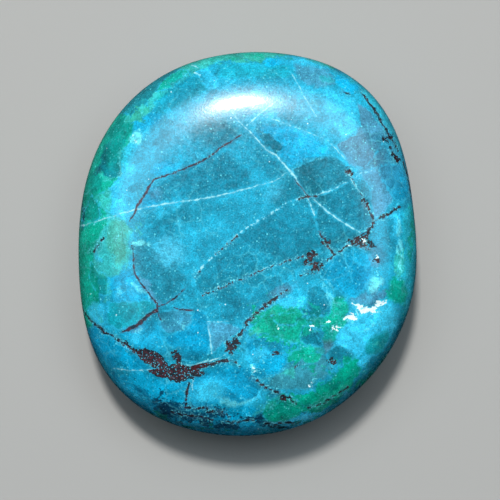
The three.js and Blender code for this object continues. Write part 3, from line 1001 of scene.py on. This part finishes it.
def lay_line(make, place, points, lean):
    """How deep inside a line's width a place is: over 0 on the line, under 0 beside it."""
    offset, along, shares = lay_sheet(make, place, points, lean)
    widths = [(width - FADE) / (WIDEST - FADE) for _, _, width in points]
    middle = list(zip(shares, widths))[1:-1]
    node = make.add("FloatCurve", {"Value": along})
    closed = [(0.0, 0.0), (BLUNT, widths[0]), *middle, (1 - BLUNT, widths[-1]), (1.0, 0.0)]
    draw_curve(node, closed)
    width = make.math("MULTIPLY_ADD", node.outputs[0], WIDEST - FADE, FADE)
    return make.math("SUBTRACT", width, make.math("ABSOLUTE", offset))


def lay_lines(make, place, lines):
    """The deepest that a place is inside any of the lines."""
    deepest = FADE
    for lean, points in lines:
        deepest = make.math("MAXIMUM", deepest, lay_line(make, place, points, lean))
    return deepest


def blob(make, place, u, v, across, along, turn):
    """How near a place is to a rounded patch: 1 in its middle, 0.5 on its edge, 0 far out."""
    depth = PATCH_DEPTH + max(across, along)
    inputs = {
        "Vector": place,
        "Location": (u, v, crown_level(u, v)),
        "Rotation": (0, 0, math.radians(turn)),
        "Scale": (2 * across, 2 * along, 2 * depth),
    }
    local = make.add("Mapping", inputs, vector_type="TEXTURE").outputs[0]
    return make.add("TexGradient", {0: local}, gradient_type="SPHERICAL").outputs["Fac"]


def nearest_blob(make, place, blobs):
    nearest = 0.0
    for spot in blobs:
        nearest = make.math("MAXIMUM", nearest, blob(make, place, *spot))
    return nearest


def lay_block(make, across, along, outline):
    """How deep inside an outline a place is: over 0 inside it, under 0 outside."""
    middle = sum((Vector(corner) for corner in outline), Vector((0, 0))) / len(outline)
    du = make.math("SUBTRACT", across, middle.x)
    dv = make.math("SUBTRACT", along, middle.y)
    arms = []
    for start, end in zip(outline, [*outline[1:], outline[0]]):
        steps = math.ceil((Vector(end) - Vector(start)).length / STRAIGHT_STEP)
        arms += [Vector(start).lerp(Vector(end), step / steps) - middle for step in range(steps)]
    corners = sorted((math.atan2(arm.y, arm.x) / math.tau + 0.5, arm.length) for arm in arms)
    (first_turn, first_reach), (last_turn, last_reach) = corners[0], corners[-1]
    share = (1 - last_turn) / (1 - last_turn + first_turn)
    seam = last_reach + (first_reach - last_reach) * share
    turn = make.math("MULTIPLY_ADD", make.math("ARCTAN2", dv, du), 1 / math.tau, 0.5)
    reach = make.add("FloatCurve", {"Value": turn})
    draw_curve(reach, [(0.0, seam), *corners, (1.0, seam)])
    square = make.math("MULTIPLY_ADD", dv, dv, make.math("MULTIPLY", du, du))
    return make.math("SUBTRACT", reach.outputs[0], make.math("SQRT", square))


def paint_layers(make, place, colour):
    for tint, strength, edge, lean, points in LAYERS:
        offset, along, _ = lay_sheet(make, place, points, lean)
        ends = make.math("MINIMUM", along, make.math("SUBTRACT", 1.0, along))
        depth = make.math("MINIMUM", offset, ends)
        colour = make.mix(make.smooth(depth, -edge, edge, 0.0, strength), colour, tint)
    return colour


def paint_blocks(make, colour):
    """Returns the painted colour, and how near a place is to the nearest edge of a crisp block."""
    frames = [[project(make, place, axis) for axis in FLAT_AXES] for place in (make.traced, make.ragged)]
    seam = -1.0
    for tint, strength, edge, outline in BLOCKS:
        crisp = edge < CRISP
        depth = lay_block(make, *frames[0 if crisp else 1], outline)
        colour = make.mix(make.smooth(depth, -edge, edge, 0.0, strength), colour, tint)
        if crisp:
            seam = make.math("MAXIMUM", seam, make.math("MULTIPLY", make.math("ABSOLUTE", depth), -1))
    return colour, seam


def paint_bands(make, place, colour):
    for tint, strength, edge, lean, points in BANDS:
        depth = lay_line(make, place, points, lean)
        colour = make.mix(make.smooth(depth, -edge, edge, 0.0, strength), colour, tint)
    return colour


def paint_clumps(make, place, colour):
    for u, v, across, along, turn, tint, strength, scale, thinness in CLUMPS:
        nearness = blob(make, place, u, v, across, along, turn)
        level = make.noise(place, scale, *CLUMP_NOISE)
        level = make.math("MULTIPLY_ADD", nearness, CLUMP_REACH, level)
        start = thinness + CLUMP_REACH
        share = make.smooth(level, start - CLUMP_EDGE, start + CLUMP_EDGE, 0.0, strength)
        colour = make.mix(share, colour, tint)
    return colour


def paint_clouds(make, place, clouds, colour):
    for u, v, across, along, turn, tint, strength, softness in clouds:
        nearness = blob(make, place, u, v, across, along, turn)
        share = make.smooth(nearness, 0.5 - softness / 2, 0.5 + softness / 2, 0.0, strength)
        colour = make.mix(share, colour, tint)
    return colour


def body_blocks(make):
    """Angular blocks of the body's tones."""
    pick = make.add("SeparateColor", {0: make.cells(make.stir(make.place, *BODY_STIR), BODY_BLOCKS)})
    tones = make.add("ValToRGB", {"Fac": pick.outputs[0]})
    tones.color_ramp.interpolation = "CONSTANT"
    for index, tone in enumerate(BODY_TONES):
        start = index / len(BODY_TONES)
        stops = tones.color_ramp.elements
        stop = stops[index] if index < 2 else stops.new(start)
        stop.position = start
        stop.color = (*tone, 1)
    return tones.outputs[0]


def paint_body(make, colour):
    """The stone's lower half, below the blocks that the crown shows: angular blocks of its own."""
    body = body_blocks(make)
    vein = make.math("ABSOLUTE", make.math("SUBTRACT", make.noise(make.jagged, *BODY_VEINS), 0.5))
    where = make.smooth(make.noise(make.place, BODY_VEIN_PATCHES), 0.45, 0.55)
    shadow = make.math("MULTIPLY", make.smooth(vein, *BODY_VEIN_SHADOW), where)
    body = make.mix(shadow, body, DEEP_BLUE)
    core = make.math("MULTIPLY", make.smooth(vein, *BODY_VEIN_CORE), where)
    body = make.mix(core, body, BLACK_BROWN)
    uneven = make.noise(make.place, *BODY_EDGE)
    level = make.math("MULTIPLY_ADD", uneven, BODY_UNEVENNESS, -BODY_UNEVENNESS / 2)
    level = make.math("ADD", level, project(make, make.place, UP))
    return make.mix(make.smooth(level, BODY_TOP, BODY_FULL), colour, body)


def mottle(make, colour):
    """Clouds at three sizes, and angular grains of slightly different shades."""
    for scale, detail, roughness, low, high in MOTTLES:
        level = make.smooth(make.noise(make.place, scale, detail, roughness), *MOTTLE_LEVELS, low, high)
        colour = make.shade(colour, level)
    for scale, low, high in FACETS:
        grain = make.add("SeparateColor", {0: make.cells(make.jagged, scale)}).outputs[0]
        colour = make.shade(colour, make.smooth(grain, 0.0, 1.0, low, high))
    return colour


def crackle(make, colour):
    """A faint web of healed cracks, stronger in some places than in others."""
    for scale, width, strength, tint, where in CRACKLES:
        gap = make.cells(make.jagged, scale, "DISTANCE_TO_EDGE", "Distance")
        line = make.smooth(gap, width, 0.0, 0.0, strength)
        spread = make.smooth(make.noise(make.place, where, *CRACKLE_PATCHES), *CRACKLE_LEVELS)
        colour = make.mix(make.math("MULTIPLY", line, spread), colour, tint)
    return colour


def paint_ground(make):
    """The stone under its lines: layers, blocks, bands and clouds, and its finer grain."""
    colour = paint_layers(make, make.ragged, TEAL)
    colour, seam = paint_blocks(make, colour)
    colour = paint_bands(make, make.ragged, colour)
    colour = paint_clouds(make, make.ragged, CLOUDS, colour)
    colour = paint_clumps(make, make.ragged, colour)
    # broad darker shades of the stone, with painted shade over the haze of the lights at the right
    shades = [(*shade, SHADE_SOFTNESS) for shade in SHADES]
    colour = paint_clouds(make, make.ragged, shades, colour)
    colour = paint_body(make, colour)
    colour = mottle(make, colour)
    colour = crackle(make, colour)
    spread = make.smooth(make.broken, *GLINT_SPREAD)
    return make.mix(make.math("MULTIPLY", make.smooth(seam, *SEAM_GLINT), spread), colour, CYAN)


def fray(make, depth, way):
    """depth, made uneven by the stone's breaking noise."""
    return make.math("ADD", depth, make.smooth(make.broken, *way))


def paint_pale_lines(make, colour):
    """The whitish hairlines, whole or dotted, with a faint glow beside them."""
    pale = fray(make, lay_lines(make, make.traced, PALE_LINES), THIN_FRAY)
    dots = fray(make, lay_lines(make, make.traced, DOTTED_LINES), DOT_FRAY)
    pale = make.math("MAXIMUM", pale, dots)
    colour = make.mix(make.smooth(pale, *PALE_GLOW), colour, CYAN)
    bright = make.smooth(make.noise(make.place, *GLEAMS), *GLEAM_SPREAD)
    core = make.math("MULTIPLY", make.smooth(pale, *PALE_CORE), bright)
    return make.mix(core, colour, LINE_WHITE)


def paint_red_lines(make, colour):
    red = fray(make, lay_lines(make, make.traced, RED_LINES), THIN_FRAY)
    colour = make.mix(make.smooth(red, *RED_SHADOW), colour, SLATE)
    rust = make.mix(make.smooth(make.fleck, *RED_RUST), BLACK_BROWN, RED_BROWN)
    return make.mix(make.smooth(red, *RED_CORE), colour, rust)


def paint_brown_lines(make, colour):
    """Returns the painted colour, and how much of it is brown mineral."""
    brown = fray(make, lay_lines(make, make.traced, BLACK_LINES), BROWN_FRAY)
    colour = make.mix(make.smooth(brown, *BROWN_SHADOW), colour, SLATE)
    sugar = make.smooth(make.noise(make.place, *SUGAR), *SUGAR_GRAINS)
    beside = make.math("MULTIPLY", make.smooth(brown, *SUGAR_BESIDE), sugar)
    colour = make.mix(beside, colour, ICE)
    thread = make.smooth(brown, *BROWN_CORE)
    rust = make.mix(make.smooth(make.fleck, *BROWN_RUST), BLACK_BROWN, RED_BROWN)
    return make.mix(thread, colour, rust), thread


def paint_brown_masses(make, colour):
    """The clusters and the two big masses, redder in their hearts and dusted with blue. Returns the
    painted colour, and how much of it is brown mineral."""
    cluster = nearest_blob(make, make.ragged, BROWN_CLUSTERS)
    for outline in BROWN_MASSES:
        depth = lay_block(make, *[project(make, make.traced, axis) for axis in FLAT_AXES], outline)
        cluster = make.math("MAXIMUM", cluster, make.smooth(depth, *MASS_EDGE))
    cluster = fray(make, cluster, CLUSTER_FRAY)
    red_grains = make.smooth(make.fleck, *MASS_RUST)
    heart = make.math("MULTIPLY", make.smooth(cluster, *MASS_HEART), red_grains)
    rust = make.mix(heart, BLACK_BROWN, RED_BROWN)
    dust = make.smooth(make.noise(make.place, *DUST), *DUST_GRAINS)
    mass = make.smooth(cluster, *MASS_CORE)
    return make.mix(mass, colour, make.mix(dust, rust, MILK)), mass


def paint_druse(make, colour):
    """White crystals with a thin frost round them. Returns the colour, and how near they are."""
    druse = fray(make, nearest_blob(make, make.ragged, DRUSE), DRUSE_FRAY)
    grains = make.smooth(make.fleck, *FROST_GRAINS)
    frost = make.math("MULTIPLY", make.smooth(druse, *FROST_EDGE), grains)
    colour = make.mix(frost, colour, ICE)
    return make.mix(make.smooth(druse, *QUARTZ_CORE), colour, WHITE), druse


def sprinkle(make, colour):
    """Fine white specks, mostly a few in a patch."""
    for scale, size, share, strength, tint in SPECKS:
        voronoi = make.add("TexVoronoi", {"Vector": make.place, "Scale": scale})
        pick = make.add("SeparateColor", {0: voronoi.outputs["Color"]})
        chosen = make.smooth(pick.outputs[0], 1 - share, 1 - share + 0.02)
        reach = make.math("MULTIPLY", pick.outputs[1], size)
        dot = make.math("SUBTRACT", reach, voronoi.outputs["Distance"])
        shown = make.math("MULTIPLY", make.smooth(dot, 0.0, SPECK_EDGE, 0.0, strength), chosen)
        colour = make.mix(shown, colour, tint)
    return colour


def polish(make, shader, mineral):
    """A glossy hand polish, duller where mineral is 1, over fine pores and ripples."""
    grain = make.smooth(make.noise(make.place, *POLISH), *ROUGHNESS_SPREAD)
    make.feed(shader.inputs["Roughness"], make.math("MULTIPLY_ADD", mineral, ROUGH_MINERAL, grain))
    height = make.math("ADD", make.noise(make.place, *RIPPLES), make.noise(make.place, *PORES))
    relief = {"Height": height, "Strength": RELIEF_STRENGTH, "Distance": RELIEF_HEIGHT}
    make.feed(shader.inputs["Normal"], make.add("Bump", relief).outputs[0])
    shader.inputs["Specular IOR Level"].default_value = GLOSS
    shader.inputs["Coat Weight"].default_value = COAT_WEIGHT
    shader.inputs["Coat Roughness"].default_value = COAT_ROUGHNESS


def stone_material():
    material = bpy.data.materials.new("chrysocolla_pattern")
    material.use_nodes = True
    make = StoneRecipe(material)
    shader = make.tree.nodes["Principled BSDF"]
    colour = paint_ground(make)
    colour = paint_pale_lines(make, colour)
    colour = paint_red_lines(make, colour)
    colour, thread = paint_brown_lines(make, colour)
    colour, mass = paint_brown_masses(make, colour)
    colour, druse = paint_druse(make, colour)
    make.feed(shader.inputs["Base Color"], sprinkle(make, colour))
    mineral = make.math("MAXIMUM", thread, mass)
    mineral = make.math("MAXIMUM", mineral, make.smooth(druse, *QUARTZ_DULL))
    polish(make, shader, mineral)
    return material


# ---------------------------------------------------------------- stage, light and camera

FLOOR_REACH = 1.5
FLOOR_COLOUR = (0.32, 0.315, 0.305, 1)
FLOOR_ROUGHNESS = 0.9
KEY_TILT = 30  # degrees from straight up, towards +Y
KEY_REACH = 1.2
KEY_ASIDE = -0.085  # how far it stands towards -X
KEY_SIZE = 0.17
KEY_POWER = 15.5
KEY_COLOUR = (1.0, 0.985, 0.96)
# The studio's ceiling: how bright it is by the height of a direction, as its sine.
CEILING = ((0.0, 0.05), (0.60, 0.20), (0.76, 2.6), (0.90, 2.8), (0.97, 0.12))
CEILING_TINT = (0.82, 0.93, 1.0)
FAR_END = (-0.35, 0.40, 0.04, 1.0)  # from and to which direction along the stone, and how bright
CAMERA_DISTANCE = 0.31  # from the level of the girth
FRAME_WIDTH = 0.0809  # of what the camera sees at that level
CAMERA_PLACE = (0.4 * MM, -0.97 * MM)


def make_floor():
    bm = bmesh.new()
    bmesh.ops.create_grid(bm, x_segments=1, y_segments=1, size=FLOOR_REACH)
    mesh = bpy.data.meshes.new("floor")
    bm.to_mesh(mesh)
    bm.free()
    material = bpy.data.materials.new("pale_floor")
    material.use_nodes = True
    shader = material.node_tree.nodes["Principled BSDF"]
    shader.inputs["Base Color"].default_value = FLOOR_COLOUR
    shader.inputs["Roughness"].default_value = FLOOR_ROUGHNESS
    mesh.materials.append(material)
    floor = link("floor", mesh)
    floor.visible_glossy = False  # the stone's rim stays clear of its glare


def make_key_light():
    data = bpy.data.lights.new("key", "AREA")
    data.shape = "DISK"
    data.size = KEY_SIZE
    data.energy = KEY_POWER
    data.color = KEY_COLOUR
    lamp = link("key", data)
    tilt = math.radians(KEY_TILT)
    lamp.location = (KEY_ASIDE, KEY_REACH * math.sin(tilt), KEY_REACH * math.cos(tilt))
    lamp.rotation_euler = lamp.location.to_track_quat("Z", "Y").to_euler()


def make_studio():
    """A soft overhead ring of light that is brighter over the stone's far end."""
    world = bpy.data.worlds.new("studio")
    world.use_nodes = True
    bpy.context.scene.world = world
    make = Recipe(world)
    direction = make.add("TexCoord").outputs["Generated"]
    split = make.add("SeparateXYZ", {0: direction})
    ring = make.add("ValToRGB", {"Fac": split.outputs["Z"]})
    ring.color_ramp.interpolation = "EASE"
    ring.color_ramp.elements.remove(ring.color_ramp.elements[1])
    for index, (height, level) in enumerate(CEILING):
        stop = ring.color_ramp.elements[0] if index == 0 else ring.color_ramp.elements.new(height)
        stop.position = height
        stop.color = (*[level * part for part in CEILING_TINT], 1)
    ahead = make.smooth(split.outputs["Y"], *FAR_END)
    background = make.tree.nodes["Background"]
    make.feed(background.inputs["Color"], ring.outputs[0])
    make.feed(background.inputs["Strength"], ahead)


def make_camera():
    data = bpy.data.cameras.new("camera")
    data.lens = data.sensor_width * CAMERA_DISTANCE / FRAME_WIDTH
    data.clip_start = 0.01
    camera = link("camera", data)
    camera.location = (*CAMERA_PLACE, GIRTH_HEIGHT + CAMERA_DISTANCE)
    bpy.context.scene.camera = camera
    bpy.context.scene.view_settings.view_transform = "Standard"


stone = make_stone()
stone.data.materials.append(stone_material())
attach(stone, "root")
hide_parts("chrysocolla_stone")
make_floor()
make_key_light()
make_studio()
make_camera()
